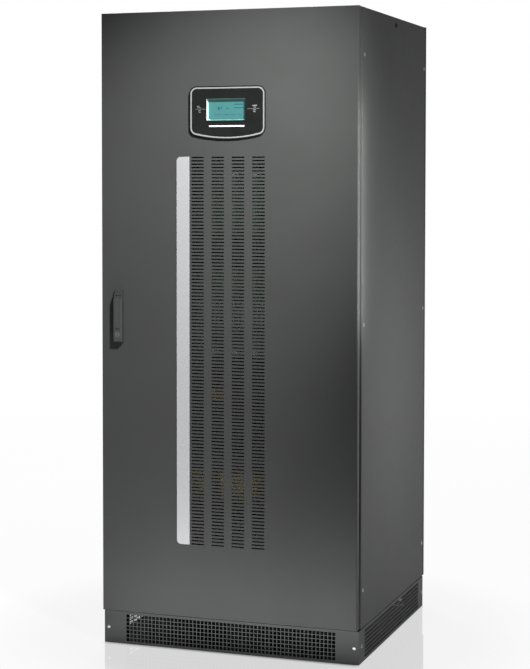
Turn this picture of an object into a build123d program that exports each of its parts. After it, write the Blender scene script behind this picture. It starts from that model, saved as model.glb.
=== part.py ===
"""Floor-standing UPS cabinet with one vented, hinged front door.

Millimetres. X runs to the right, Y to the rear, Z up from the floor. The origin is under the middle of the
whole cabinet, handle included.
"""

import os

from build123d import *

os.makedirs("parts", exist_ok=True)

# Cabinet
cabinet_width = 800.0
cabinet_height = 1900.0
cabinet_depth = 820.0  # door front to the back of the rear panel
sheet = 2.0  # folded sheet of door and panels
panel_return = 16.0  # depth of the side panels' folded edges
panel_radius = 4.0  # outer bend radius of the panels
panel_gap = 3.0  # joint between plinth and panels
rear_panel_depth = 18.0

# Plinth
plinth_height = 98.0
plinth_recess = 18.0
plinth_flange = 12.0
flange_clearance = 6.0
grille_rows = 7
grille_pitch = 12.0
grille_hole = 9.5
grille_margin_front = 68.0
grille_margin_side = 58.0
leg_wall = 3.0
base_plate_reach = 420.0  # from the plinth's front
base_strip_inset = 220.0  # side strips from the middle; cables enter between them
base_plate_joint = 0.5
base_plate_gap = 2.0  # to legs and plinth panels

# Frame
post_size = 50.0
post_wall = 2.5
rail_size = 40.0
rail_wall = 2.5

# Roof
roof_seam = 1.0  # gap between roof and side panels
roof_fold = 22.0  # down-turned front and rear edges
roof_slot = (220.0, 8.0)
roof_slot_pitch = (260.0, 20.0)
roof_slot_grid = (2, 12)
roof_slot_offset = 40.0  # behind the middle of the roof

# Door
door_edge_gap = 2.0  # door edge inside the cabinet's side
door_thickness = 21.0
door_gap = 15.0  # dark joint between door and body
door_lift = 5.0  # door edge above the plinth
door_radius = 3.0
slot_length = 39.0
slot_height = 4.0
slot_columns = 4
column_pitch = 63.0
row_pitch = 9.97
vent_offset = 3.5  # middle of the slot columns, right of the door's middle
vent_drop = 53.8  # top slot row below the display
vent_foot = 219.0  # bottom slot row above the door's lower edge
stiffener_offsets = (-250.0, 225.0)
stiffener_width = 44.0
stiffener_depth = 16.0
stiffener_margin = 148.0
stiffener_lip = 12.0
stiffener_sheet = 1.5

# Hinges
pivot_inset_side = 11.0  # pivot from the door's right edge
pivot_inset_front = 15.0  # pivot behind the door's front
pin_diameter = 6.0
pin_clearance = 0.05  # radial
block_wall_side = 4.0
block_wall_back = 2.0
block_height = 30.0
hinge_margin = 157.0  # lower and upper hinge from the door's ends
arm_thickness = 8.0
arm_width = 5.0
arm_eye = 5.4
arm_reach = 26.0
arm_neck = 8.0
arm_gap = 0.2
foot_width = 24.0
foot_thickness = 4.0
foot_height = 44.0

# Display
display_drop = 222.2  # below the cabinet's top
display_offset = 3.2  # outline's middle, right of the window's middle
display_half_width = 116.8
display_side = 139.0  # straight side
display_bow = 15.0  # drop of the bowed lower edge
display_corner = 22.0
display_lower_corner = 22.0
bezel_height = 8.0
bezel_edge = 1.0
trim_inset = 2.6
trim_shift = (1.4, -1.0)  # ring's middle against the outline's
trim_width = 3.8
trim_height = 1.4
window_width = 120.0
window_height = 63.5
window_drop = 36.3  # window's top edge below the display's top
screen_lap = 4.0
screen_thickness = 4.0
screen_pocket = 6.0
cutout_rim = 20.0
housing_lap = 14.0
housing_depth = 40.0
status_bar_width = 109.0
status_bar_height = 4.4
status_bar_offset = 2.7  # right of the window's middle
status_bar_drop = 17.0  # middle of the bar below the window
status_bar_depth = 1.0
status_bar_proud = 0.4

# Silver strip beside the vents
strip_width = 40.2
strip_gap = 6.0  # to the first slot column
strip_thickness = 3.0
strip_corner = 13.0
strip_edge = 0.8

# Handle
handle_projection = 20.0
handle_inset = 58.0  # handle's middle from the door's left edge
handle_drop = 4.0  # handle's middle below the door's middle
handle_width = 26.5
handle_height = 158.0
handle_edge = 3.0
handle_foot = (3.0, 9.0)  # bevel of the lower end: depth, height
handle_brow = (5.0, 30.0)  # slope of the upper end: edge thickness, height
lever_width = 15.6
lever_side_gap = 0.4
lever_length = 98.0
lever_boss = 6.5
lever_top = 18.5  # lever's top below the handle's top
lever_pivot_out = 13.0  # pivot in front of the door
lever_thickness = 9.5
lever_scoop = 3.0
lever_scoop_height = 16.0
lever_end_gap = 2.0
channel_floor = 6.0
handle_pin_diameter = 4.0
lock_diameter = 15.0
lock_gap = 8.0  # lock's rim below the lever's channel
lock_sink = 0.4
keyhole = (1.6, 7.0, 3.0)
latch_width = 38.0
latch_height = 120.0
latch_depth = 16.0
rod_width = 14.0
rod_thickness = 3.0
rod_margin = 20.0
rod_depth = 6.0

# Inside
shelf_top = 400.0
shelf_sheet = 3.0
shelf_fold = 26.0
plate_bottom = 640.0
plate_gap = 2.0
core_depth = 70.0
core_yoke = 40.0
core_leg = 50.0
core_pitch = 160.0
coil_front = 105.0  # behind the door front
coil_height = 84.0
coil_width = 142.0
coil_depth = 132.0
coil_corner = 16.0
coil_clearance = 1.0
board_standoff = 12.0
board_sheet = 2.0
standoff_size = 8.0
standoff_margin = 15.0
board_offset = 20.0
control_board_size = (240.0, 190.0)
control_board_rise = 700.0  # middle above the plate's lower edge
driver_board_size = (300.0, 260.0)
driver_board_rise = 370.0
capacitor_size = (30.0, 22.0, 28.0)
capacitor_pitch = 212.0
capacitor_offset = -53.0
capacitor_rise = 124.0

# Derived positions
half_width = cabinet_width / 2
door_front = -(cabinet_depth + handle_projection) / 2 + handle_projection
rear_face = door_front + cabinet_depth
body_front = door_front + door_thickness + door_gap
body_rear = rear_face - rear_panel_depth
body_middle = (body_front + body_rear) / 2
panel_bottom = plinth_height + panel_gap
plinth_front = door_front + plinth_recess
plinth_rear = rear_face - plinth_recess
frame_top = cabinet_height - sheet
post_outer = half_width - sheet
post_inner = post_outer - post_size
front_posts = (body_front + sheet, body_front + sheet + post_size)
rear_posts = (body_rear - sheet - post_size, body_rear - sheet)
door_width = cabinet_width - 2 * door_edge_gap
door_bottom = plinth_height + door_lift
door_height = cabinet_height - door_bottom
door_inside = door_front + sheet
display_top = cabinet_height - display_drop
display_bottom = display_top - display_side - display_bow
vent_top = display_bottom - vent_drop
slot_rows = int((vent_top - door_bottom - vent_foot) / row_pitch) + 1
vent_bottom = vent_top - (slot_rows - 1) * row_pitch
vent_middle = (vent_top + vent_bottom) / 2
pivot_x = door_width / 2 - pivot_inset_side
pivot_y = door_front + pivot_inset_front
lower_hinge = door_bottom + hinge_margin
upper_hinge = cabinet_height - hinge_margin - block_height
hinge_levels = (lower_hinge, (lower_hinge + upper_hinge) / 2, upper_hinge)


def front_plane(y, z=0.0):
    """Plane facing the front: local x to the right, local y up."""
    return Plane(origin=(0, y, z), x_dir=(1, 0, 0), z_dir=(0, -1, 0))


def rear_plane(y, z=0.0):
    """Plane facing the rear, local y up."""
    return Plane(origin=(0, y, z), x_dir=(-1, 0, 0), z_dir=(0, 1, 0))


def side_plane(side, y, z=0.0):
    """Plane on the left (-1) or right (+1) side, facing outwards, local y up."""
    return Plane(origin=(side * half_width, y, z), x_dir=(0, side, 0), z_dir=(side, 0, 0))


def save(part, name):
    part.label = name
    export_step(part, f"parts/{name}.step")


def folded_pan(face, length, height, depth, radius, bottom_return=True):
    """Sheet pan whose outer face lies on the given plane; its edges are folded inwards."""
    floor = sheet if bottom_return else 0.0
    with BuildPart() as pan:
        with BuildSketch(face):
            Rectangle(length, height, align=(Align.CENTER, Align.MIN))
        extrude(amount=-depth)
        bends = pan.faces().sort_by(Axis(face.origin, face.z_dir))[-1].edges()
        if not bottom_return:
            bends = bends.sort_by(Axis.Z)[1:]
        fillet(bends, radius)
        with BuildSketch(face.offset(-sheet)):
            with Locations((0, floor)):
                Rectangle(length - 2 * sheet, height - sheet - floor, align=(Align.CENTER, Align.MIN))
        extrude(amount=-depth, mode=Mode.SUBTRACT)
    return pan.part


def perforated_panel(face, length, margin):
    """Plinth panel with folded top and bottom edges and rows of air openings."""
    columns = int((length - 2 * margin) / grille_pitch)
    field = columns * grille_pitch - (grille_pitch - grille_hole)
    setback = front_posts[1] - plinth_front + flange_clearance
    with BuildPart() as panel:
        with BuildSketch(face):
            Rectangle(length, plinth_height, align=(Align.CENTER, Align.MIN))
            with Locations((0, plinth_height / 2)):
                with GridLocations(field, grille_pitch, 1, grille_rows):
                    Rectangle(field, grille_hole, mode=Mode.SUBTRACT)
        extrude(amount=-sheet)
        with BuildSketch(face):
            with Locations((0, sheet / 2), (0, plinth_height - sheet / 2)):
                Rectangle(length - 2 * setback, sheet)
        extrude(amount=-plinth_flange)
    return panel.part


def corner_post(side, span, opens_to_rear):
    """Folded U-section post of the frame, open towards the inside of the cabinet."""
    centre_x = side * (post_outer - post_size / 2)
    middle = (span[0] + span[1]) / 2
    shift = post_wall / 2 if opens_to_rear else -post_wall / 2
    with BuildPart() as post:
        with BuildSketch(Plane.XY.offset(plinth_height)):
            with Locations((centre_x, middle)):
                Rectangle(post_size, post_size)
            with Locations((centre_x, middle + shift)):
                Rectangle(post_size - 2 * post_wall, post_size - post_wall, mode=Mode.SUBTRACT)
        extrude(amount=frame_top - plinth_height)
    return post.part


def frame_rails(bottom):
    """Four square tubes between the posts: front, rear, left and right."""
    centre_z = bottom + rail_size / 2
    inner = rail_size - 2 * rail_wall
    with BuildPart() as rails:
        for y in (front_posts[0] + rail_size / 2, rear_posts[1] - rail_size / 2):
            with BuildSketch(Plane.YZ):
                with Locations((y, centre_z)):
                    Rectangle(rail_size, rail_size)
                    Rectangle(inner, inner, mode=Mode.SUBTRACT)
            extrude(amount=post_inner, both=True)
        for side in (-1, 1):
            with BuildSketch(front_plane(front_posts[1])):
                with Locations((side * (post_outer - rail_size / 2), centre_z)):
                    Rectangle(rail_size, rail_size)
                    Rectangle(inner, inner, mode=Mode.SUBTRACT)
            extrude(amount=-(rear_posts[0] - front_posts[1]))
    return rails.part


def display_outline(inset):
    """Display shape, drawn in by the inset: rounded top, straight sides, bowed bottom edge."""
    half = display_half_width - inset
    top = display_top - inset
    side = display_top - display_side + inset
    with BuildSketch() as shape:
        with BuildLine():
            Polyline((-half, side), (-half, top), (half, top), (half, side))
            ThreePointArc((half, side), (0, display_bottom + inset), (-half, side))
        make_face()
        fillet(shape.vertices().group_by(Axis.Y)[-1], display_corner - inset)
        fillet(shape.vertices().group_by(Axis.Y)[0], display_lower_corner - inset)
    return shape.sketch


def hat_stiffener(x):
    """Hat-section stiffener on the inside of the door."""
    length = door_height - 2 * stiffener_margin
    inner = stiffener_width - 2 * stiffener_sheet
    seat = (Align.CENTER, Align.MIN)
    with BuildPart() as hat:
        with BuildSketch(Plane.XY.offset(door_bottom + stiffener_margin)):
            with Locations((x, door_inside)):
                Rectangle(stiffener_width + 2 * stiffener_lip, stiffener_sheet, align=seat)
                Rectangle(stiffener_width, stiffener_depth, align=seat)
                Rectangle(inner, stiffener_depth - stiffener_sheet, align=seat, mode=Mode.SUBTRACT)
        extrude(amount=length)
    return hat.part


# Plinth and legs
plinth_middle = (plinth_front + plinth_rear) / 2
side_length = plinth_rear - plinth_front - 2 * sheet
save(perforated_panel(front_plane(plinth_front), cabinet_width, grille_margin_front), "plinth_front")
save(perforated_panel(rear_plane(plinth_rear), cabinet_width, grille_margin_front), "plinth_rear")
save(perforated_panel(side_plane(-1, plinth_middle), side_length, grille_margin_side), "plinth_left")
save(perforated_panel(side_plane(1, plinth_middle), side_length, grille_margin_side), "plinth_right")

with BuildPart() as base_legs:
    for low, high in ((plinth_front + sheet, front_posts[1]), (rear_posts[0], plinth_rear - sheet)):
        for side in (-1, 1):
            with BuildSketch(Plane.XY):
                with Locations((side * (post_outer - post_size / 2), (low + high) / 2)):
                    Rectangle(post_size, high - low)
                    Rectangle(post_size - 2 * leg_wall, high - low - 2 * leg_wall, mode=Mode.SUBTRACT)
            extrude(amount=plinth_height)
save(base_legs.part, "base_legs")

base_plate_rear = plinth_front + base_plate_reach
with BuildPart() as base_plate:
    with BuildSketch(Plane.XY.offset(sheet)):
        for half_span, front in (
            (post_inner - base_plate_gap, plinth_front + sheet + base_plate_gap),
            (post_outer - base_plate_gap, front_posts[1] + base_plate_gap),
        ):
            with Locations((0, front)):
                Rectangle(2 * half_span, base_plate_rear - front, align=(Align.CENTER, Align.MIN))
        strip_front = base_plate_rear + base_plate_joint
        strip_span = (base_strip_inset, post_outer - base_plate_gap)
        for side in (-1, 1):
            with Locations((side * sum(strip_span) / 2, strip_front)):
                strip_size = (strip_span[1] - strip_span[0], rear_posts[0] - base_plate_gap - strip_front)
                Rectangle(*strip_size, align=(Align.CENTER, Align.MIN))
    extrude(amount=sheet)
save(base_plate.part, "base_plate")

# Frame
for side, name in ((-1, "left"), (1, "right")):
    save(corner_post(side, front_posts, True), f"post_front_{name}")
    save(corner_post(side, rear_posts, False), f"post_rear_{name}")
save(frame_rails(plinth_height), "base_rails")
save(frame_rails(frame_top - rail_size), "roof_rails")

# Side, rear and roof panels
panel_length = body_rear - body_front
panel_height = cabinet_height - panel_bottom
for side, name in ((-1, "left"), (1, "right")):
    face = side_plane(side, body_middle, panel_bottom)
    save(folded_pan(face, panel_length, panel_height, panel_return, panel_radius, False), f"side_panel_{name}")
rear_pan_face = rear_plane(rear_face, panel_bottom)
save(folded_pan(rear_pan_face, cabinet_width, panel_height, rear_panel_depth, panel_radius), "rear_panel")

roof_width = cabinet_width - 2 * (panel_return + roof_seam)
with BuildPart() as roof_panel:
    with BuildSketch(Plane.XY.offset(frame_top)):
        with Locations((0, body_middle)):
            Rectangle(roof_width, panel_length)
        with Locations((0, body_middle + roof_slot_offset)):
            with GridLocations(*roof_slot_pitch, *roof_slot_grid):
                Rectangle(*roof_slot, mode=Mode.SUBTRACT)
    extrude(amount=sheet)
    with BuildSketch(Plane.XY.offset(cabinet_height)):
        with Locations((0, body_front + sheet / 2), (0, body_rear - sheet / 2)):
            Rectangle(roof_width, sheet)
    extrude(amount=-roof_fold)
save(roof_panel.part, "roof_panel")

# Door: a folded pan with four columns of punched vent slots
handle_x = -door_width / 2 + handle_inset
handle_middle = door_bottom + door_height / 2 - handle_drop
handle_bottom = handle_middle - handle_height / 2
handle_top = handle_middle + handle_height / 2
lever_high = handle_top - lever_top
lever_low = lever_high - lever_length
channel_low = lever_low - lever_end_gap
lock_z = channel_low - lock_gap - lock_diameter / 2
window_middle = display_top - window_drop - window_height / 2

with BuildPart() as door_panel:
    add(folded_pan(front_plane(door_front, door_bottom), door_width, door_height, door_thickness, door_radius))
    with BuildSketch(front_plane(door_front)):
        with Locations((vent_offset, vent_middle)):
            with GridLocations(column_pitch, row_pitch, slot_columns, slot_rows):
                Rectangle(slot_length, slot_height)
        with Locations((0, window_middle)):
            Rectangle(window_width + 2 * cutout_rim, window_height + 2 * cutout_rim)
        with Locations((handle_x, lock_z)):
            Circle(lock_diameter / 2)
    extrude(amount=-sheet, mode=Mode.SUBTRACT)
save(door_panel.part, "door_panel")

for x, name in zip(stiffener_offsets, ("left", "right")):
    save(hat_stiffener(x), f"door_stiffener_{name}")

# Hinges: fixed gooseneck arms carry pins, bored blocks in the door pan turn on them
elbow_x = pivot_x - arm_reach
foot_face = front_posts[0]
with BuildPart() as hinge_arms:
    for level in hinge_levels:
        arm_top = level - arm_gap
        with BuildSketch(Plane.XY.offset(arm_top - arm_thickness)):
            with Locations((pivot_x, pivot_y)):
                RegularPolygon(arm_eye, side_count=8)
                Rectangle(arm_reach + arm_neck, arm_width, align=(Align.MAX, Align.CENTER))
            with Locations((elbow_x, pivot_y - arm_width / 2)):
                Rectangle(arm_neck, foot_face - pivot_y + arm_width / 2, align=(Align.MAX, Align.MIN))
        extrude(amount=arm_thickness)
        with BuildSketch(front_plane(foot_face, arm_top - arm_thickness / 2)):
            with Locations((elbow_x, 0)):
                Rectangle(foot_width, foot_height)
        extrude(amount=foot_thickness)
        with BuildSketch(Plane.XY.offset(arm_top)):
            with Locations((pivot_x, pivot_y)):
                Circle(pin_diameter / 2)
        extrude(amount=block_height + arm_gap)
save(hinge_arms.part, "hinge_arms")

block_width = pivot_inset_side - sheet + pin_diameter / 2 + block_wall_side
block_depth = pivot_inset_front - sheet + pin_diameter / 2 + block_wall_back
with BuildPart() as hinge_blocks:
    for level in hinge_levels:
        with BuildSketch(Plane.XY.offset(level)):
            with Locations((door_width / 2 - sheet, door_inside)):
                Rectangle(block_width, block_depth, align=(Align.MAX, Align.MIN))
            with Locations((pivot_x, pivot_y)):
                Circle(pin_diameter / 2 + pin_clearance, mode=Mode.SUBTRACT)
        extrude(amount=block_height)
save(hinge_blocks.part, "hinge_blocks")

# Display
bezel_front = door_front - bezel_height
status_bar_z = window_middle - window_height / 2 - status_bar_drop
with BuildPart() as display_bezel:
    with BuildSketch(front_plane(door_front)):
        with Locations((display_offset, 0)):
            add(display_outline(0))
    extrude(amount=bezel_height)
    chamfer(display_bezel.faces().sort_by(Axis.Y)[0].edges(), bezel_edge)
    with BuildSketch(front_plane(bezel_front)):
        with Locations((status_bar_offset, status_bar_z)):
            Rectangle(status_bar_width, status_bar_height)
    extrude(amount=-status_bar_depth, mode=Mode.SUBTRACT)
    with BuildSketch(front_plane(bezel_front)):
        with Locations((0, window_middle)):
            Rectangle(window_width, window_height)
    extrude(amount=-bezel_height, mode=Mode.SUBTRACT)
save(display_bezel.part, "display_bezel")

with BuildPart() as display_trim:
    with BuildSketch(front_plane(bezel_front)):
        with Locations((display_offset + trim_shift[0], trim_shift[1])):
            add(display_outline(trim_inset))
            add(display_outline(trim_inset + trim_width), mode=Mode.SUBTRACT)
    extrude(amount=trim_height)
save(display_trim.part, "display_trim")

with BuildPart() as display_status_bar:
    with BuildSketch(front_plane(bezel_front + status_bar_depth)):
        with Locations((status_bar_offset, status_bar_z)):
            Rectangle(status_bar_width, status_bar_height)
    extrude(amount=status_bar_depth + status_bar_proud)
save(display_status_bar.part, "display_status_bar")

screen_width = window_width + 2 * screen_lap
screen_height = window_height + 2 * screen_lap
housing_rim = 2 * (cutout_rim + housing_lap)
with BuildPart() as display_housing:
    with BuildSketch(front_plane(door_inside)):
        with Locations((0, window_middle)):
            Rectangle(window_width + housing_rim, window_height + housing_rim)
    extrude(amount=-housing_depth)
    with BuildSketch(front_plane(door_inside)):
        with Locations((0, window_middle)):
            Rectangle(screen_width, screen_height)
    extrude(amount=-screen_pocket, mode=Mode.SUBTRACT)
save(display_housing.part, "display_housing")

with BuildPart() as display_screen:
    with BuildSketch(front_plane(door_inside + screen_pocket)):
        with Locations((0, window_middle)):
            Rectangle(screen_width, screen_height)
    extrude(amount=screen_thickness)
save(display_screen.part, "display_screen")

# Silver strip
strip_right = vent_offset - (slot_columns - 1) * column_pitch / 2 - slot_length / 2 - strip_gap
strip_height = vent_top - vent_bottom + slot_height
with BuildPart() as trim_strip:
    with BuildSketch(front_plane(door_front)) as outline:
        with Locations((strip_right - strip_width / 2, vent_middle)):
            Rectangle(strip_width, strip_height)
        fillet(outline.vertices().group_by(Axis.X)[0], strip_corner)
    extrude(amount=strip_thickness)
    chamfer(trim_strip.faces().sort_by(Axis.Y)[0].edges(), strip_edge)
save(trim_strip.part, "trim_strip")

# Handle: an escutcheon with a lever lying in its channel, hinged at the top
handle_front = door_front - handle_projection
handle_side = Plane(origin=(handle_x, 0, 0), x_dir=(0, 1, 0), z_dir=(1, 0, 0))
lever_y = door_front - lever_pivot_out
lever_z = lever_high - lever_boss
lever_face = lever_y - lever_boss
lever_back = lever_face + lever_thickness
channel_width = lever_width + 2 * lever_side_gap
channel_height = lever_length + 2 * lever_end_gap
with BuildPart() as handle_base:
    with BuildSketch(handle_side):
        with BuildLine():
            Polyline(
                (door_front, handle_bottom),
                (handle_front + handle_foot[0], handle_bottom + handle_foot[0]),
                (handle_front, handle_bottom + handle_foot[1]),
                (handle_front, handle_top - handle_brow[1]),
                (door_front - handle_brow[0], handle_top),
                (door_front, handle_top),
                close=True,
            )
        make_face()
    extrude(amount=handle_width / 2, both=True)
    chamfer(handle_base.edges().filter_by(Axis.Z).group_by(Axis.Y)[0], handle_edge)
    with BuildSketch(front_plane(handle_front)):
        with Locations((handle_x, channel_low)):
            Rectangle(channel_width, channel_height, align=(Align.CENTER, Align.MIN))
    extrude(amount=-(handle_projection - channel_floor), mode=Mode.SUBTRACT)
    with BuildSketch(front_plane(handle_front)):
        with Locations((handle_x, lock_z)):
            Circle(lock_diameter / 2)
    extrude(amount=-(handle_projection - channel_floor), mode=Mode.SUBTRACT)
    with BuildSketch(handle_side):
        with Locations((lever_y, lever_z)):
            Circle(handle_pin_diameter / 2)
    extrude(amount=handle_width / 2, both=True, mode=Mode.SUBTRACT)
save(handle_base.part, "handle_base")

with BuildPart() as handle_lever:
    with BuildSketch(handle_side):
        with Locations((lever_y, lever_z)):
            Circle(lever_boss)
        with BuildLine():
            Polyline(
                (lever_face, lever_z),
                (lever_face, lever_low),
                (lever_back - lever_scoop, lever_low),
                (lever_back, lever_low + lever_scoop_height),
                (lever_back, lever_z),
                close=True,
            )
        make_face()
        with Locations((lever_y, lever_z)):
            Circle(handle_pin_diameter / 2 + pin_clearance, mode=Mode.SUBTRACT)
    extrude(amount=lever_width / 2, both=True)
save(handle_lever.part, "handle_lever")

with BuildPart() as handle_pin:
    with BuildSketch(handle_side):
        with Locations((lever_y, lever_z)):
            Circle(handle_pin_diameter / 2)
    extrude(amount=handle_width / 2, both=True)
save(handle_pin.part, "handle_pin")

with BuildPart() as lock_cylinder:
    with BuildSketch(front_plane(door_front - channel_floor)):
        with Locations((handle_x, lock_z)):
            Circle(lock_diameter / 2)
    extrude(amount=handle_projection - channel_floor - lock_sink)
    with BuildSketch(front_plane(handle_front + lock_sink)):
        with Locations((handle_x, lock_z)):
            Rectangle(keyhole[0], keyhole[1])
    extrude(amount=-keyhole[2], mode=Mode.SUBTRACT)
save(lock_cylinder.part, "lock_cylinder")

with BuildPart() as latch_case:
    with BuildSketch(front_plane(door_inside)):
        with Locations((handle_x, handle_middle)):
            Rectangle(latch_width, latch_height)
    extrude(amount=-latch_depth)
save(latch_case.part, "latch_case")

with BuildPart() as latch_rods:
    rod_spans = (
        (door_bottom + rod_margin, handle_middle - latch_height / 2),
        (handle_middle + latch_height / 2, cabinet_height - rod_margin),
    )
    for bottom, top in rod_spans:
        with BuildSketch(Plane.XY.offset(bottom)):
            with Locations((handle_x, door_inside + rod_depth)):
                Rectangle(rod_width, rod_thickness, align=(Align.CENTER, Align.MIN))
        extrude(amount=top - bottom)
save(latch_rods.part, "latch_rods")

# Inside: shelf with a three-coil choke
with BuildPart() as equipment_shelf:
    with BuildSketch(Plane.XY.offset(shelf_top)):
        with Locations((0, front_posts[0])):
            Rectangle(2 * post_inner, rear_posts[1] - front_posts[0], align=(Align.CENTER, Align.MIN))
    extrude(amount=-shelf_sheet)
    with BuildSketch(front_plane(front_posts[0])):
        with Locations((0, shelf_top)):
            Rectangle(2 * post_inner, shelf_fold, align=(Align.CENTER, Align.MAX))
    extrude(amount=-shelf_sheet)
save(equipment_shelf.part, "equipment_shelf")

coil_window = coil_height + coil_clearance
core_height = 2 * core_yoke + coil_window
core_middle = door_front + coil_front + coil_depth / 2
with BuildPart() as choke_core:
    with BuildSketch(front_plane(core_middle - core_depth / 2, shelf_top)):
        Rectangle(2 * core_pitch + core_leg, core_height, align=(Align.CENTER, Align.MIN))
        with Locations((0, core_height / 2)):
            with GridLocations(core_pitch, coil_window, 2, 1):
                Rectangle(core_pitch - core_leg, coil_window, mode=Mode.SUBTRACT)
    extrude(amount=-core_depth)
save(choke_core.part, "choke_core")

with BuildPart() as choke_coils:
    with BuildSketch(Plane.XY.offset(shelf_top + core_yoke)) as windings:
        with Locations((0, core_middle)):
            with GridLocations(core_pitch, coil_depth, 3, 1):
                Rectangle(coil_width, coil_depth)
        chamfer(windings.vertices(), coil_corner)
        with Locations((0, core_middle)):
            with GridLocations(core_pitch, coil_depth, 3, 1):
                Rectangle(core_leg + 2 * coil_clearance, core_depth + 2 * coil_clearance, mode=Mode.SUBTRACT)
    extrude(amount=coil_height)
save(choke_coils.part, "choke_coils")

# Inside: plate with circuit boards and capacitors
plate_back = front_posts[1]
plate_front = plate_back - sheet
plate_top = frame_top - rail_size - plate_gap
with BuildPart() as equipment_plate:
    with BuildSketch(front_plane(plate_front, plate_bottom)):
        Rectangle(2 * post_inner, plate_top - plate_bottom, align=(Align.CENTER, Align.MIN))
    extrude(amount=-sheet)
save(equipment_plate.part, "equipment_plate")


def circuit_board(rise, size):
    """Circuit board on four standoffs in front of the equipment plate."""
    centre = (board_offset, plate_bottom + rise)
    with BuildPart() as board:
        with BuildSketch(front_plane(plate_front - board_standoff)):
            with Locations(centre):
                Rectangle(*size)
        extrude(amount=board_sheet)
        with BuildSketch(front_plane(plate_front)):
            with Locations(centre):
                with GridLocations(size[0] - 2 * standoff_margin, size[1] - 2 * standoff_margin, 2, 2):
                    Rectangle(standoff_size, standoff_size)
        extrude(amount=board_standoff)
    return board.part


save(circuit_board(control_board_rise, control_board_size), "control_board")
save(circuit_board(driver_board_rise, driver_board_size), "driver_board")

with BuildPart() as bus_capacitors:
    with BuildSketch(front_plane(plate_front)):
        with Locations((capacitor_offset, plate_bottom + capacitor_rise)):
            with GridLocations(capacitor_pitch, capacitor_size[2], 3, 1):
                Rectangle(capacitor_size[0], capacitor_size[2])
    extrude(amount=capacitor_size[1])
save(bus_capacitors.part, "bus_capacitors")
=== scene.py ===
"""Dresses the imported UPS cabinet: paint, display, grille webs, screws, boards, and a white studio.

Metres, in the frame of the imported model: X to the right, Y to the rear, Z up.
"""

import math

import bmesh
import bpy
from mathutils import Matrix, Vector


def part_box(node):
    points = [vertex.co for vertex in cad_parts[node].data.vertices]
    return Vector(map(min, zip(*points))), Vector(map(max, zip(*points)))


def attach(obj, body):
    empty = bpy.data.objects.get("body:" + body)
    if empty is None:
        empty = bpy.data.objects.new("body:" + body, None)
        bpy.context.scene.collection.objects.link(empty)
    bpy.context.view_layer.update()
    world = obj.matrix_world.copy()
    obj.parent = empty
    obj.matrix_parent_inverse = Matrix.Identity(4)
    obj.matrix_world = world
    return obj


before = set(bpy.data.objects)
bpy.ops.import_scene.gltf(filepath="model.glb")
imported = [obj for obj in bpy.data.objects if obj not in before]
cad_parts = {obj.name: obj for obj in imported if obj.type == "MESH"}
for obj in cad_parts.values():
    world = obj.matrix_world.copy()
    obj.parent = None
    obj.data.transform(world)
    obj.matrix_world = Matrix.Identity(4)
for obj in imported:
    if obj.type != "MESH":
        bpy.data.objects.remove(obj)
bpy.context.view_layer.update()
scene = bpy.context.scene
scene.view_settings.view_transform = "Standard"

MM = 0.001
FRONT, REAR = Vector((0, -1, 0)), Vector((0, 1, 0))
LEFT, RIGHT = Vector((-1, 0, 0)), Vector((1, 0, 0))
SIDES = (("left", LEFT), ("right", RIGHT))

# Camera of the photograph: angles in degrees, lens and sensor in millimetres
CAMERA_PLACE = (1.7773, -5.3723, 1.4059)
CAMERA_TILT = 2.612
CAMERA_TURN = 19.726
CAMERA_LENS = 97.075
CAMERA_SENSOR = 36
CAMERA_SHIFT = (0.06, -0.109)

# Plinth grilles
PLINTH_SHEET = 2 * MM
GRILLE_COLUMNS = 55
GRILLE_PITCH = 12 * MM
GRILLE_HOLE = 9.5 * MM
GRILLE_WEB = GRILLE_PITCH - GRILLE_HOLE
GRILLE_MARGIN = 8.2 * MM
WEB_INSET = 0.05 * MM

# Points in a round outline of a screw, a plug or a capacitor
ROUND_SEGMENTS = 24

# Screws: levels above the floor and insets from a panel's ends
PANEL_SCREW_RADIUS = 5.2 * MM
PANEL_SCREW_LEVELS = (0.211, 0.985, 1.764)
SCREW_INSET = 14 * MM
SIDE_PANEL_INSET_FRONT = 24 * MM
PLINTH_SCREW_RADIUS = 5.0 * MM
PLINTH_SCREW_HEIGHT = 1.8 * MM
PLINTH_SCREW_ROOT = 0.4 * MM
PLINTH_SCREW_LEVEL = 48 * MM
SIDE_PLINTH_INSET_FRONT = 30 * MM
SOCKET_SHARE = 0.5

# A domed head's rings and its socket's, as shares of radius and height
DOME_PROFILE = ((1.0, 0.35), (0.9, 0.75), (0.62, 1.0))
SOCKET_PROFILE = ((SOCKET_SHARE, 1.0), (0.48, 0.15))

# Flush screw heads and plugs reach this far over and under their panel's face; the flat black hexagons
# that stand for the screws' sockets as painted shade reach twice as far over
FLUSH_SKIN = 0.03 * MM

# Oval lifting plugs
PLUG_RADIUS = 8 * MM
PLUG_STRETCH = 2
PLUG_BEHIND_MIDDLE = 20 * MM
PLUG_BELOW_TOP = 24 * MM

# Display: the bezel's lap over the screen, the window's liner and its foot, and the thickness of marks
SCREEN_LAP = 4 * MM
BORDER_WIDTH = 2 * MM
LINER_WIDTH = 0.6 * MM
LINER_RECESS = 0.4 * MM
LINER_FOOT_REACH = 7 * MM
LINER_FOOT_DEPTH = 3 * MM
LINER_FOOT_HEIGHT = 4 * MM
LINER_FOOT_BEVEL = 1.2 * MM
INK_THICKNESS = 0.15 * MM
ICON_THICKNESS = 0.12 * MM

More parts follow.
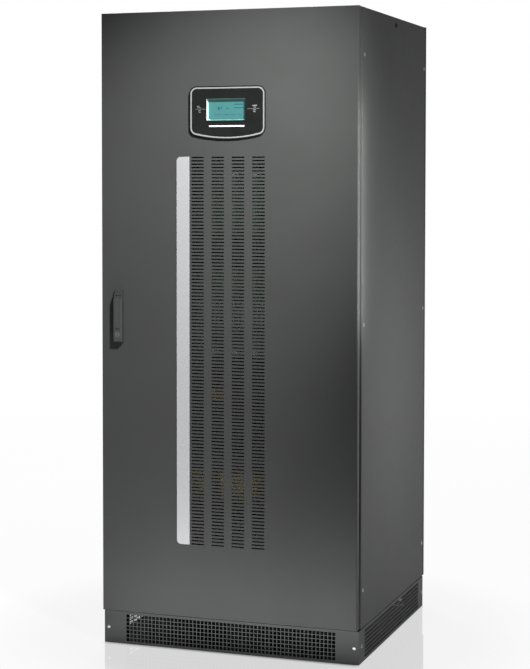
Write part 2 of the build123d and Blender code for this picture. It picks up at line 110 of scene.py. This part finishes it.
# Generic marks in the door's plane, in millimetres: left, bottom, width and height on the screen,
# left, middle height, width and height on the bezel
SCREEN_MARKS = (
    (-29, 1609, 6, 8), (-18, 1611, 2, 9), (-3, 1612, 8, 2), (21, 1623.5, 29, 2.2), (21, 1613.5, 31, 2.2),
    (-38, 1594, 20, 1.2), (-10, 1594, 16, 1.2), (10, 1594, 18, 1.2), (32, 1594, 14, 1.2),
)
KEY_MARKS = (
    (-90, 1619.5, 8, 1.6), (-88, 1615, 10, 1.6), (-94, 1611, 32, 0.7), (-86, 1606.5, 8, 1.6),
    (-84, 1602, 6, 1.6),
    (82, 1620, 14, 2.4), (85, 1615, 8, 2), (67, 1611, 36, 0.7), (84, 1607, 9, 2), (85, 1602, 6, 2.4),
)

# Parts on the boards. Each starts with its place in shares of the board's width and height. Then come
# width, height and depth in millimetres, or radius and height of a round capacitor.
BOARD_LAYOUT = {
    "control_board": {
        "chips": (
            (0.32, 0.62, 34, 34, 4), (0.62, 0.70, 22, 14, 3), (0.62, 0.52, 22, 14, 3),
            (0.30, 0.30, 18, 26, 3),
        ),
        "connectors": ((0.50, 0.93, 120, 12, 14), (0.94, 0.45, 12, 90, 14)),
        "cans": ((0.14, 0.80, 6, 18), (0.14, 0.66, 6, 18), (0.80, 0.24, 8, 24)),
        "sinks": (),
    },
    "driver_board": {
        "chips": ((0.18, 0.78, 16, 22, 4), (0.50, 0.78, 16, 22, 4), (0.82, 0.78, 16, 22, 4)),
        "connectors": ((0.50, 0.05, 200, 14, 16), (0.06, 0.40, 12, 110, 16)),
        "cans": ((0.22, 0.20, 9, 30), (0.34, 0.20, 9, 30), (0.46, 0.20, 9, 30), (0.84, 0.24, 7, 22)),
        "sinks": ((0.55, 0.50, 180, 70, 26),),
    },
}
CHIP_BEVEL = 0.5 * MM
CONNECTOR_BEVEL = 0.8 * MM
CAN_PROFILE = ((1.0, 0.0), (1.0, 0.9), (0.94, 0.97), (0.8, 1.0), (0.7, 0.96))
SINK_FINS = 13
SINK_FIN_MM = 3
SINK_BASE_MM = 5

# Surroundings: even light; in mirrors, the levels at the horizon and at the ceiling, with the heights of
# view between which they change, and a white backdrop, with its direction and the cosines of its edge
WORLD_FILL = 0.06
CEILING_EDGE = (0.0, 0.16)
CEILING_LEVELS = (1.0, 0.2)
BACKDROP_DIRECTION = (-0.34, 0.94, 0.0)
BACKDROP_EDGE = (0.84, 0.93)

# Floor: its shares of plain white and of mirror in that, where the white starts at the cabinet, and
# the distances over which the mirror and the floor itself fade
FLOOR_RADIUS = 7.0
FLOOR_SEGMENTS = 96
FLOOR_GREY = (0.86, 0.86, 0.86, 1)
FLOOR_WHITE = 0.94
FLOOR_MIRROR = 0.3
MIRROR_ROUGHNESS = 0.04
FOOTPRINT_EDGE = (0.37, 0.41)
MIRROR_EDGE = (0.62, 0.98)
FLOOR_EDGE = (2.1, 5.95)

# Spot lamp, with its cone in degrees
KEY_PLACE = (0.9, -1.5, 2.54)
KEY_TARGET = (-0.1, -0.4, 1.32)
KEY_CONE = 45
KEY_BLEND = 1.0
KEY_RADIUS = 0.1
KEY_WATTS = 297

# Area lamps: name, place, target, width and height, watts, and whether mirrors show them
SOFTBOXES = (
    ("floor_bounce", (0.08, -0.66, 0.02), (0.08, -0.5, 1.0), (1.0, 0.3), 5.3, True),
    ("right", (1.1, 0.0, 0.8), (0.4, 0.0, 0.8), (0.5, 0.5), 5, False),
    ("right_edge", (0.47, -0.395, 1.3), (0.4, -0.395, 1.3), (0.03, 0.66), 0.76, False),
    ("rear", (-1.7, 3.2, 4.2), (-0.1, 0.3, 1.0), (1.6, 1.6), 180, True),
)


def srgb(red, green, blue):
    """Linear colour of an 8-bit screen colour."""
    shares = (value / 255 for value in (red, green, blue))
    return (*(v / 12.92 if v <= 0.04045 else ((v + 0.055) / 1.055) ** 2.4 for v in shares), 1.0)


class Surface:
    """A procedural material: one Principled shader and the nodes that feed it."""

    def __init__(self, name, **sockets):
        self.material = bpy.data.materials.new(name)
        self.material.use_nodes = True
        self.tree = self.material.node_tree
        self.shader = self.tree.nodes["Principled BSDF"]
        for socket, value in sockets.items():
            self.shader.inputs[socket.replace("_", " ")].default_value = value
        self.place = self.tree.nodes.new("ShaderNodeTexCoord").outputs["Object"]

    def node(self, kind, **settings):
        made = self.tree.nodes.new(kind)
        for name, value in settings.items():
            setattr(made, name, value)
        return made

    def link(self, output, socket):
        self.tree.links.new(output, socket)

    def stretched(self, stretch):
        mapping = self.node("ShaderNodeMapping")
        mapping.inputs["Scale"].default_value = stretch
        self.link(self.place, mapping.inputs["Vector"])
        return mapping.outputs["Vector"]

    def noise(self, scale, detail=2.0, stretch=(1, 1, 1)):
        made = self.node("ShaderNodeTexNoise")
        made.inputs["Scale"].default_value = scale
        made.inputs["Detail"].default_value = detail
        self.link(self.stretched(stretch), made.inputs["Vector"])
        return made.outputs["Fac"]

    def cells(self, scale):
        made = self.node("ShaderNodeTexVoronoi")
        made.inputs["Scale"].default_value = scale
        self.link(self.place, made.inputs["Vector"])
        split = self.node("ShaderNodeSeparateColor")
        self.link(made.outputs["Color"], split.inputs["Color"])
        return split.outputs["Red"]

    def bands(self, scale, direction):
        made = self.node("ShaderNodeTexWave", bands_direction=direction)
        made.inputs["Scale"].default_value = scale
        self.link(self.place, made.inputs["Vector"])
        return made.outputs["Fac"]

    def tint(self, factor, dark, light, low=0.3, high=0.7):
        made = self.node("ShaderNodeValToRGB")
        first, last = made.color_ramp.elements
        first.position, first.color = low, dark
        last.position, last.color = high, light
        self.link(factor, made.inputs["Fac"])
        self.link(made.outputs["Color"], self.shader.inputs["Base Color"])
        return made.outputs["Color"]

    def roughen(self, factor, low, high):
        made = self.node("ShaderNodeMapRange")
        made.inputs["To Min"].default_value = low
        made.inputs["To Max"].default_value = high
        self.link(factor, made.inputs["Value"])
        self.link(made.outputs["Result"], self.shader.inputs["Roughness"])

    def relief(self, factor, depth, strength):
        made = self.node("ShaderNodeBump")
        made.inputs["Distance"].default_value = depth
        made.inputs["Strength"].default_value = strength
        self.link(factor, made.inputs["Height"])
        self.link(made.outputs["Normal"], self.shader.inputs["Normal"])


def powder_coat(name, dark, light):
    """Fine-textured powder paint: orange-peel relief and faint mottling."""
    paint = Surface(name, Specular_IOR_Level=0.05)
    paint.tint(paint.noise(scale=7, detail=4.0), dark, light)
    paint.roughen(paint.noise(scale=40, detail=3.0), low=0.46, high=0.54)
    paint.relief(paint.noise(scale=900), depth=0.15 * MM, strength=0.12)
    return paint.material


def zinc_plate(name, dark, light, grain):
    """Zinc-coated steel with its spangle."""
    zinc = Surface(name, Metallic=0.85)
    spangle = zinc.cells(grain)
    zinc.tint(spangle, dark, light, low=0.0, high=1.0)
    zinc.roughen(spangle, low=0.38, high=0.5)
    zinc.relief(zinc.noise(scale=300), depth=0.1 * MM, strength=0.1)
    return zinc.material


def brushed_metal(name, dark, light, metallic, rough, stretch):
    """Satin metal with a fine grain, drawn out to lines by an uneven stretch."""
    metal = Surface(name, Metallic=metallic)
    lines = metal.noise(scale=900, stretch=stretch)
    metal.tint(lines, dark, light)
    metal.roughen(lines, *rough)
    metal.relief(lines, depth=0.02 * MM, strength=0.15)
    return metal.material


def moulded_plastic(name, dark, light, rough, specular=0.5):
    """Plastic with a fine moulded grain."""
    plastic = Surface(name, Specular_IOR_Level=specular)
    plastic.tint(plastic.noise(scale=25, detail=3.0), dark, light)
    plastic.roughen(plastic.noise(scale=80), *rough)
    plastic.relief(plastic.noise(scale=600), depth=0.05 * MM, strength=0.08)
    return plastic.material


def lit_display(name, dark, light, glow):
    """Backlit liquid-crystal panel with its pixel rows under a glossy cover."""
    panel = Surface(name, Roughness=0.4, Coat_Weight=0.25, Coat_Roughness=0.1, Emission_Strength=glow)
    colour = panel.tint(panel.bands(400, "Z"), dark, light, low=0.0, high=1.0)
    panel.link(colour, panel.shader.inputs["Emission Color"])
    return panel.material


def glowing_plastic(name, dark, light, glow):
    """Translucent light guide, lit from behind."""
    guide = Surface(name, Roughness=0.35, Emission_Strength=glow)
    colour = guide.tint(guide.noise(scale=60), dark, light)
    guide.link(colour, guide.shader.inputs["Emission Color"])
    return guide.material


def wound_copper(name, dark, light):
    """Varnished winding: fine turns and uneven varnish."""
    coil = Surface(name, Coat_Weight=0.4, Coat_Roughness=0.2)
    coil.tint(coil.noise(scale=45, detail=3.0), dark, light)
    coil.roughen(coil.noise(scale=90), low=0.35, high=0.55)
    coil.relief(coil.bands(55, "Z"), depth=0.8 * MM, strength=0.6)
    return coil.material


def laminated_steel(name, dark, light):
    """Stack of thin electrical sheets, seen on edge."""
    core = Surface(name, Metallic=0.4)
    core.tint(core.noise(scale=30, detail=3.0, stretch=(1, 12, 1)), dark, light)
    core.roughen(core.noise(scale=60), low=0.5, high=0.7)
    core.relief(core.bands(160, "Y"), depth=0.2 * MM, strength=0.5)
    return core.material


def circuit_board(name, mask, track):
    """Solder mask over thin copper tracks."""
    board = Surface(name, Coat_Weight=0.3, Coat_Roughness=0.2)
    board.tint(board.noise(scale=70, detail=1.0, stretch=(1, 1, 4)), mask, track, low=0.42, high=0.6)
    board.roughen(board.noise(scale=120), low=0.35, high=0.5)
    board.relief(board.noise(scale=220, detail=1.0, stretch=(1, 1, 4)), depth=0.05 * MM, strength=0.3)
    return board.material


anthracite = powder_coat("anthracite_paint", srgb(76, 77, 76), srgb(78, 80, 79))
plinth_paint = powder_coat("plinth_paint", srgb(84, 85, 85), srgb(87, 88, 88))
frame_paint = powder_coat("frame_paint", srgb(44, 45, 46), srgb(47, 48, 49))
# Near-black paint on the base plate, rails and legs: painted shade inside the plinth, seen through the
# grilles
base_painted_shade = powder_coat("base_painted_shade", srgb(25, 26, 26), srgb(29, 30, 30))
zinc_steel = zinc_plate("zinc_steel", srgb(138, 141, 144), srgb(176, 178, 180), grain=60)
screw_zinc = zinc_plate("screw_zinc", srgb(178, 180, 182), srgb(208, 210, 211), grain=900)
silver = brushed_metal(
    "silver_trim", srgb(192, 193, 195), srgb(206, 207, 209),
    metallic=0.35, rough=(0.3, 0.42), stretch=(8, 8, 0.12),
)
chrome = brushed_metal(
    "display_chrome", srgb(174, 176, 178), srgb(192, 194, 196),
    metallic=0.5, rough=(0.25, 0.35), stretch=(1, 1, 1),
)
lock_metal = brushed_metal(
    "lock_metal", srgb(96, 97, 98), srgb(120, 121, 122),
    metallic=0.8, rough=(0.28, 0.4), stretch=(1, 8, 1),
)
sink_alloy = brushed_metal(
    "sink_alloy", srgb(150, 152, 154), srgb(182, 184, 186),
    metallic=0.8, rough=(0.35, 0.5), stretch=(1, 1, 8),
)
display_black = moulded_plastic(
    "display_black", srgb(22, 23, 23), srgb(28, 29, 29), (0.16, 0.22), specular=0.16
)
black_plastic = moulded_plastic("black_plastic", srgb(40, 41, 41), srgb(48, 49, 49), (0.38, 0.5))
handle_plastic = moulded_plastic("handle_plastic", srgb(58, 59, 59), srgb(64, 65, 65), (0.26, 0.34))
lcd_ink = moulded_plastic("lcd_ink", srgb(30, 76, 104), srgb(36, 84, 110), (0.35, 0.45))
icon_grey = moulded_plastic("icon_grey", srgb(138, 139, 140), srgb(164, 165, 166), (0.4, 0.5))
liner_white = moulded_plastic("liner_white", srgb(226, 228, 228), srgb(240, 241, 241), (0.3, 0.4))
capacitor_yellow = moulded_plastic(
    "capacitor_yellow", srgb(196, 158, 38), srgb(216, 178, 58), (0.35, 0.5)
)
# Matt black: the lifting plugs' own colour, and painted shade in the flush screws' sockets
matt_black = moulded_plastic(
    "matt_black", srgb(14, 14, 15), srgb(20, 20, 21), (0.6, 0.75), specular=0.05
)
chip_black = moulded_plastic("chip_black", srgb(26, 26, 28), srgb(36, 36, 38), (0.4, 0.55))
connector_cream = moulded_plastic(
    "connector_cream", srgb(206, 202, 186), srgb(224, 220, 206), (0.4, 0.5)
)
status_white = glowing_plastic("status_white", srgb(232, 234, 235), srgb(244, 245, 245), glow=0.2)
lcd_edge = glowing_plastic("lcd_edge", srgb(132, 190, 182), srgb(152, 206, 198), glow=0.2)
lcd_teal = lit_display("lcd_teal", srgb(51, 104, 104), srgb(69, 128, 127), glow=0.16)
core_steel = laminated_steel("core_steel", srgb(70, 72, 76), srgb(96, 98, 101))
coil_varnish = wound_copper("coil_varnish", srgb(186, 160, 66), srgb(216, 192, 92))
board_green = circuit_board("board_green", srgb(30, 78, 56), srgb(70, 112, 82))

NODE_MATERIALS = {
    anthracite: ("door_panel", "side_panel_left", "side_panel_right", "rear_panel", "roof_panel"),
    plinth_paint: ("plinth_front", "plinth_left", "plinth_rear", "plinth_right"),
    frame_paint: (
        "post_front_left", "post_front_right", "post_rear_left", "post_rear_right", "roof_rails",
        "equipment_plate", "equipment_shelf",
    ),
    # Base parts in near-black paint: painted shade inside the plinth
    base_painted_shade: ("base_rails", "base_legs", "base_plate"),
    zinc_steel: (
        "door_stiffener_left", "door_stiffener_right", "hinge_arms", "hinge_blocks", "latch_case",
        "latch_rods", "handle_pin",
    ),
    display_black: ("display_bezel",),
    black_plastic: ("display_housing",),
    handle_plastic: ("handle_base", "handle_lever"),
    chrome: ("display_trim",),
    silver: ("trim_strip",),
    lock_metal: ("lock_cylinder",),
    status_white: ("display_status_bar",),
    lcd_teal: ("display_screen",),
    core_steel: ("choke_core",),
    coil_varnish: ("choke_coils",),
    board_green: ("control_board", "driver_board"),
    capacitor_yellow: ("bus_capacitors",),
}


def dress_nodes():
    """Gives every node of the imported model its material."""
    for material, names in NODE_MATERIALS.items():
        for name in names:
            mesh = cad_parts[name].data
            mesh.materials.clear()
            mesh.materials.append(material)


def place_piece(name, shape, material, body):
    """Turns a finished bmesh into a piece that rides on a body."""
    mesh = bpy.data.meshes.new(name)
    bmesh.ops.recalc_face_normals(shape, faces=shape.faces[:])
    shape.to_mesh(mesh)
    shape.free()
    mesh.materials.append(material)
    made = bpy.data.objects.new(name, mesh)
    scene.collection.objects.link(made)
    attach(made, body)


def add_block(shape, low, high, bevel=0.0):
    """Box between two corners, with bevelled edges where asked."""
    low, high = Vector(low), Vector(high)
    middle, size = (low + high) / 2, high - low
    matrix = Matrix.Translation(middle) @ Matrix.Diagonal((*size, 1.0))
    verts = bmesh.ops.create_cube(shape, size=1.0, matrix=matrix)["verts"]
    if bevel:
        edges = {edge for vert in verts for edge in vert.link_edges}
        bmesh.ops.bevel(shape, geom=list(edges), offset=bevel, segments=2, profile=0.6, affect="EDGES")


def add_rings(shape, rings, matrix):
    """Closed skin through rings of equal point counts, moved by a matrix."""
    rows = [[shape.verts.new(matrix @ point) for point in ring] for ring in rings]
    count = len(rows[0])
    for low, high in zip(rows, rows[1:]):
        for i in range(count):
            shape.faces.new((low[i], low[(i + 1) % count], high[(i + 1) % count], high[i]))
    shape.faces.new(list(reversed(rows[0])))
    shape.faces.new(rows[-1])


def facing(place, normal):
    """Frame at a place whose local z is the normal."""
    return Matrix.Translation(place) @ Vector(normal).to_track_quat("Z", "Y").to_matrix().to_4x4()


def circle(radius, height):
    turns = (2 * math.pi * i / ROUND_SEGMENTS for i in range(ROUND_SEGMENTS))
    return [Vector((radius * math.cos(t), radius * math.sin(t), height)) for t in turns]


def hexagon(radius, height):
    """Points of a hexagon, as many as a circle has."""
    points = []
    for i in range(ROUND_SEGMENTS):
        turn = 2 * math.pi * i / ROUND_SEGMENTS
        reach = math.cos(math.pi / 6) / math.cos(turn % (math.pi / 3) - math.pi / 6)
        points.append(Vector((radius * reach * math.cos(turn), radius * reach * math.sin(turn), height)))
    return points


def add_domed_screw(shape, place, normal):
    """Low domed screw head with a hexagon socket."""
    radius, height = PLINTH_SCREW_RADIUS, PLINTH_SCREW_HEIGHT
    dome = [circle(share * radius, rise * height) for share, rise in DOME_PROFILE]
    socket = [hexagon(share * radius, rise * height) for share, rise in SOCKET_PROFILE]
    add_rings(shape, [circle(radius, -PLINTH_SCREW_ROOT), *dome, *socket], facing(place, normal))


def add_flush_screw(heads, sockets, place, normal):
    """Countersunk screw head, level with its panel, with a flat hexagon over it as the painted shade of
    its socket.
    """
    matrix = facing(place, normal)
    socket = SOCKET_SHARE * PANEL_SCREW_RADIUS
    add_rings(heads, [circle(PANEL_SCREW_RADIUS, side * FLUSH_SKIN) for side in (-1, 1)], matrix)
    add_rings(sockets, [hexagon(socket, 0), hexagon(socket, 2 * FLUSH_SKIN)], matrix)


def grille_webs(node, normal):
    """Upright webs that turn a plinth panel's rows into square holes."""
    low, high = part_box(node)
    along = 0 if normal.y else 1
    across = 1 - along
    face = (high if normal[across] > 0 else low)[across]
    outer = face - normal[across] * WEB_INSET
    inner = face - normal[across] * (PLINTH_SHEET - WEB_INSET)
    field = GRILLE_COLUMNS * GRILLE_PITCH - GRILLE_WEB
    start = (low[along] + high[along]) / 2 - field / 2
    shape = bmesh.new()
    for column in range(GRILLE_COLUMNS - 1):
        left = start + column * GRILLE_PITCH + GRILLE_HOLE
        corners = []
        for position, depth, z in (
            (left, min(outer, inner), low.z + GRILLE_MARGIN),
            (left + GRILLE_WEB, max(outer, inner), high.z - GRILLE_MARGIN),
        ):
            corner = Vector((0, 0, z))
            corner[along], corner[across] = position, depth
            corners.append(corner)
        add_block(shape, *corners)
    place_piece(f"{node}_webs", shape, plinth_paint, "cabinet")


def panel_screws():
    """Flush screws along the edges of the side panels, the rear panel and the sides of the plinth."""
    places = []
    for name, normal in SIDES:
        low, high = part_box(f"side_panel_{name}")
        face = (low if normal.x < 0 else high).x
        for y in (low.y + SIDE_PANEL_INSET_FRONT, high.y - SCREW_INSET):
            places += [((face, y, z), normal) for z in PANEL_SCREW_LEVELS]
        low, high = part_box(f"plinth_{name}")
        for y in (low.y + SIDE_PLINTH_INSET_FRONT, high.y - SCREW_INSET):
            places.append(((face, y, PLINTH_SCREW_LEVEL), normal))
    low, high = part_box("rear_panel")
    for x in (low.x + SCREW_INSET, high.x - SCREW_INSET):
        places += [((x, high.y, z), REAR) for z in PANEL_SCREW_LEVELS]
    # The socket hexagons are flat and matt black: painted shade where real sockets would be recessed
    heads, sockets = bmesh.new(), bmesh.new()
    for place, normal in places:
        add_flush_screw(heads, sockets, place, normal)
    place_piece("panel_screw_heads", heads, screw_zinc, "cabinet")
    place_piece("panel_screw_socket_shade", sockets, matt_black, "cabinet")


def plinth_screws():
    """Domed screws at the ends of the front and rear plinth panels."""
    shape = bmesh.new()
    low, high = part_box("plinth_front")
    rear_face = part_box("plinth_rear")[1].y
    for x in (low.x + SCREW_INSET, high.x - SCREW_INSET):
        add_domed_screw(shape, (x, low.y, PLINTH_SCREW_LEVEL), FRONT)
        add_domed_screw(shape, (x, rear_face, PLINTH_SCREW_LEVEL), REAR)
    place_piece("plinth_screws", shape, screw_zinc, "cabinet")


def add_frame(shape, low, high, width, front, back):
    """Rectangular ring in the door's plane; low and high are its outer x and z."""
    (x0, z0), (x1, z1) = low, high
    add_block(shape, (x0, front, z0), (x0 + width, back, z1))
    add_block(shape, (x1 - width, front, z0), (x1, back, z1))
    add_block(shape, (x0 + width, front, z0), (x1 - width, back, z0 + width))
    add_block(shape, (x0 + width, front, z1 - width), (x1 - width, back, z1))


def display_details():
    """Window liner, bright screen border, and generic marks on screen and bezel."""
    bezel_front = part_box("display_bezel")[0].y
    low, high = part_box("display_screen")
    screen_front = low.y
    x0, x1 = low.x + SCREEN_LAP, high.x - SCREEN_LAP
    z0, z1 = low.z + SCREEN_LAP, high.z - SCREEN_LAP
    liner_edge = x0 + LINER_WIDTH

    shape = bmesh.new()
    add_block(shape, (x0, bezel_front + LINER_RECESS, z0), (liner_edge, screen_front, z1))
    foot_start = (liner_edge, screen_front - LINER_FOOT_DEPTH, z0)
    foot_end = (x0 + LINER_FOOT_REACH, screen_front, z0 + LINER_FOOT_HEIGHT)
    add_block(shape, foot_start, foot_end, LINER_FOOT_BEVEL)
    place_piece("window_liner", shape, liner_white, "door")

    shape = bmesh.new()
    ink_front = screen_front - INK_THICKNESS
    add_frame(shape, (liner_edge, z0), (x1, z1), BORDER_WIDTH, ink_front, screen_front)
    place_piece("screen_border", shape, lcd_edge, "door")

    shape = bmesh.new()
    for left, bottom, width, height in SCREEN_MARKS:
        corner = (left * MM, ink_front, bottom * MM)
        add_block(shape, corner, ((left + width) * MM, screen_front, (bottom + height) * MM))
    place_piece("screen_marks", shape, lcd_ink, "door")

    shape = bmesh.new()
    icon_front = bezel_front - ICON_THICKNESS
    for left, level, width, height in KEY_MARKS:
        corner = (left * MM, icon_front, (level - height / 2) * MM)
        add_block(shape, corner, ((left + width) * MM, bezel_front, (level + height / 2) * MM))
    place_piece("key_marks", shape, icon_grey, "door")


def side_plugs():
    """Dark oval plug in the lifting hole near the top of each side panel."""
    for name, normal in SIDES:
        low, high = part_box(f"side_panel_{name}")
        shape = bmesh.new()
        place = ((low if normal.x < 0 else high).x, PLUG_BEHIND_MIDDLE, high.z - PLUG_BELOW_TOP)
        matrix = facing(place, normal) @ Matrix.Diagonal((PLUG_STRETCH, 1, 1, 1))
        add_rings(shape, [circle(PLUG_RADIUS, side * FLUSH_SKIN) for side in (-1, 1)], matrix)
        place_piece(f"lifting_plug_{name}", shape, matt_black, "cabinet")


def board_point(low, high, across, up):
    """Point on the front of a board's box, at shares of its width and height."""
    return Vector((low.x + across * (high.x - low.x), low.y, low.z + up * (high.z - low.z)))


def part_corners(middle, width, height, depth):
    """Opposite corners of a part that stands on a board; its sizes are in millimetres."""
    half = Vector((width / 2 * MM, 0, height / 2 * MM))
    return middle - half - Vector((0, depth * MM, 0)), middle + half


def add_can(shape, place, radius, height):
    """Round capacitor standing on a board that faces the front."""
    rings = [circle(radius * share, height * rise) for share, rise in CAN_PROFILE]
    add_rings(shape, rings, facing(place, FRONT))


def add_sink(shape, middle, width, height, depth):
    """Heat sink: a base with upright fins."""
    add_block(shape, *part_corners(middle, width, height, SINK_BASE_MM))
    start, end = part_corners(middle, SINK_FIN_MM, height, depth)
    for fin in range(SINK_FINS):
        share = fin / (SINK_FINS - 1) - 0.5
        step = Vector((share * (width - SINK_FIN_MM) * MM, 0, 0))
        add_block(shape, start + step, end + step)


def board_parts():
    """Chips, connectors, round capacitors and a finned heat sink on the two boards."""
    chips, connectors, cans, sinks = (bmesh.new() for _ in range(4))
    blocks = (("chips", chips, CHIP_BEVEL), ("connectors", connectors, CONNECTOR_BEVEL))
    for node, parts in BOARD_LAYOUT.items():
        low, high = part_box(node)
        for kind, shape, bevel in blocks:
            for across, up, *sizes in parts[kind]:
                add_block(shape, *part_corners(board_point(low, high, across, up), *sizes), bevel)
        for across, up, radius, height in parts["cans"]:
            add_can(cans, board_point(low, high, across, up), radius * MM, height * MM)
        for across, up, *sizes in parts["sinks"]:
            add_sink(sinks, board_point(low, high, across, up), *sizes)
    place_piece("board_chips", chips, chip_black, "cabinet")
    place_piece("board_connectors", connectors, connector_cream, "cabinet")
    place_piece("board_cans", cans, chip_black, "cabinet")
    place_piece("board_sink", sinks, sink_alloy, "cabinet")


def combined(tree, operation, first, second):
    """Output of a math node; the second input may be a plain value."""
    made = tree.nodes.new("ShaderNodeMath")
    made.operation = operation
    tree.links.new(first, made.inputs[0])
    if isinstance(second, float):
        made.inputs[1].default_value = second
    else:
        tree.links.new(second, made.inputs[1])
    return made.outputs[0]


def graded(tree, value, edge, levels, interpolation="SMOOTHSTEP"):
    """Level that changes from the first to the second across an edge."""
    made = tree.nodes.new("ShaderNodeMapRange")
    made.interpolation_type = interpolation
    made.inputs["From Min"].default_value, made.inputs["From Max"].default_value = edge
    made.inputs["To Min"].default_value, made.inputs["To Max"].default_value = levels
    tree.links.new(value, made.inputs["Value"])
    return made.outputs["Result"]


def studio_world():
    """White for the camera, a backdrop and a dim ceiling in mirrors, and a little even light."""
    world = bpy.data.worlds.new("studio")
    scene.world = world
    world.use_nodes = True
    tree = world.node_tree
    path = tree.nodes.new("ShaderNodeLightPath").outputs
    direction = tree.nodes.new("ShaderNodeTexCoord").outputs["Generated"]
    split = tree.nodes.new("ShaderNodeSeparateXYZ")
    tree.links.new(direction, split.inputs["Vector"])
    ceiling = graded(tree, split.outputs["Z"], CEILING_EDGE, CEILING_LEVELS, "LINEAR")
    ahead = tree.nodes.new("ShaderNodeVectorMath")
    ahead.operation = "DOT_PRODUCT"
    ahead.inputs[1].default_value = BACKDROP_DIRECTION
    tree.links.new(direction, ahead.inputs[0])
    backdrop = graded(tree, ahead.outputs["Value"], BACKDROP_EDGE, (0.0, 1.0))
    mirrored = combined(tree, "MAXIMUM", path["Is Glossy Ray"], path["Is Transmission Ray"])
    seen = tree.nodes.new("ShaderNodeMix")
    seen.inputs["A"].default_value = WORLD_FILL
    tree.links.new(mirrored, seen.inputs["Factor"])
    tree.links.new(combined(tree, "MAXIMUM", ceiling, backdrop), seen.inputs["B"])
    shown = combined(tree, "MAXIMUM", seen.outputs["Result"], path["Is Camera Ray"])
    tree.links.new(shown, tree.nodes["Background"].inputs["Color"])


def square_reach(paint):
    """Larger of a floor point's distances from the middle, along x and along y."""
    split = paint.node("ShaderNodeSeparateXYZ")
    paint.link(paint.place, split.inputs["Vector"])
    sizes = []
    for axis in "XY":
        size = paint.node("ShaderNodeMath", operation="ABSOLUTE")
        paint.link(split.outputs[axis], size.inputs[0])
        sizes.append(size.outputs[0])
    return combined(paint.tree, "MAXIMUM", *sizes)


def mixed(paint, share, first, second):
    """Blend of two shaders; the share is the second one's."""
    made = paint.node("ShaderNodeMixShader")
    paint.link(share, made.inputs["Fac"])
    paint.link(first, made.inputs[1])
    paint.link(second, made.inputs[2])
    return made.outputs["Shader"]


def floor_paint():
    """Plain white with some mirror for the camera and in mirrors, over a matt grey that takes shadows.

    Under the cabinet there is no white, and far out the floor turns clear.
    """
    paint = Surface("floor", Base_Color=FLOOR_GREY, Roughness=0.6, Specular_IOR_Level=0.2)
    tree = paint.tree
    length = paint.node("ShaderNodeVectorMath", operation="LENGTH")
    paint.link(paint.place, length.inputs[0])
    distance = length.outputs["Value"]

    white = paint.node("ShaderNodeEmission")
    mirror = paint.node("ShaderNodeBsdfGlossy")
    mirror.inputs["Roughness"].default_value = MIRROR_ROUGHNESS
    mirror_share = graded(tree, distance, MIRROR_EDGE, (FLOOR_MIRROR, 0.0))
    gloss = mixed(paint, mirror_share, white.outputs["Emission"], mirror.outputs["BSDF"])

    path = paint.node("ShaderNodeLightPath")
    seen = path.outputs["Is Camera Ray"]
    for ray in ("Is Glossy Ray", "Is Transmission Ray"):
        seen = combined(tree, "MAXIMUM", seen, path.outputs[ray])
    open_floor = graded(tree, square_reach(paint), FOOTPRINT_EDGE, (0.0, 1.0))
    white_share = combined(tree, "MULTIPLY", combined(tree, "MULTIPLY", seen, FLOOR_WHITE), open_floor)
    pale = mixed(paint, white_share, paint.shader.outputs["BSDF"], gloss)

    clear = paint.node("ShaderNodeBsdfTransparent")
    faded = mixed(paint, graded(tree, distance, FLOOR_EDGE, (0.0, 1.0)), pale, clear.outputs["BSDF"])
    paint.link(faded, tree.nodes["Material Output"].inputs["Surface"])
    return paint.material


def studio_floor():
    """Round floor under the cabinet."""
    shape = bmesh.new()
    bmesh.ops.create_circle(shape, cap_ends=True, segments=FLOOR_SEGMENTS, radius=FLOOR_RADIUS)
    mesh = bpy.data.meshes.new("floor")
    shape.to_mesh(mesh)
    shape.free()
    made = bpy.data.objects.new("floor", mesh)
    scene.collection.objects.link(made)
    mesh.materials.append(floor_paint())


def aim_lamp(name, lamp, place, target, mirrored):
    """Puts a lamp at a place, looking at a target; mirrors show it where asked."""
    made = bpy.data.objects.new(name, lamp)
    made.location = place
    made.rotation_euler = (Vector(target) - Vector(place)).to_track_quat("-Z", "Y").to_euler()
    made.visible_glossy = mirrored
    scene.collection.objects.link(made)


def key_lamp():
    """Soft-edged spot lamp above the right front."""
    lamp = bpy.data.lights.new("key", "SPOT")
    lamp.spot_size = math.radians(KEY_CONE)
    lamp.spot_blend = KEY_BLEND
    lamp.shadow_soft_size = KEY_RADIUS
    lamp.energy = KEY_WATTS
    aim_lamp("key", lamp, KEY_PLACE, KEY_TARGET, mirrored=False)


def softbox(name, place, target, size, watts, mirrored):
    """Rectangular area lamp; its size is width and height."""
    lamp = bpy.data.lights.new(name, "AREA")
    lamp.shape = "RECTANGLE"
    lamp.size, lamp.size_y = size
    lamp.energy = watts
    aim_lamp(name, lamp, place, target, mirrored)


def photo_camera():
    data = bpy.data.cameras.new("photo_camera")
    data.lens = CAMERA_LENS
    data.sensor_width = CAMERA_SENSOR
    data.shift_x, data.shift_y = CAMERA_SHIFT
    made = bpy.data.objects.new("photo_camera", data)
    made.location = CAMERA_PLACE
    made.rotation_euler = (math.radians(90 - CAMERA_TILT), 0, math.radians(CAMERA_TURN))
    scene.collection.objects.link(made)
    scene.camera = made


photo_camera()
dress_nodes()
for grille, direction in (("front", FRONT), ("rear", REAR), *SIDES):
    grille_webs(f"plinth_{grille}", direction)
panel_screws()
plinth_screws()
display_details()
side_plugs()
board_parts()

studio_world()
studio_floor()
key_lamp()
for box in SOFTBOXES:
    softbox(*box)
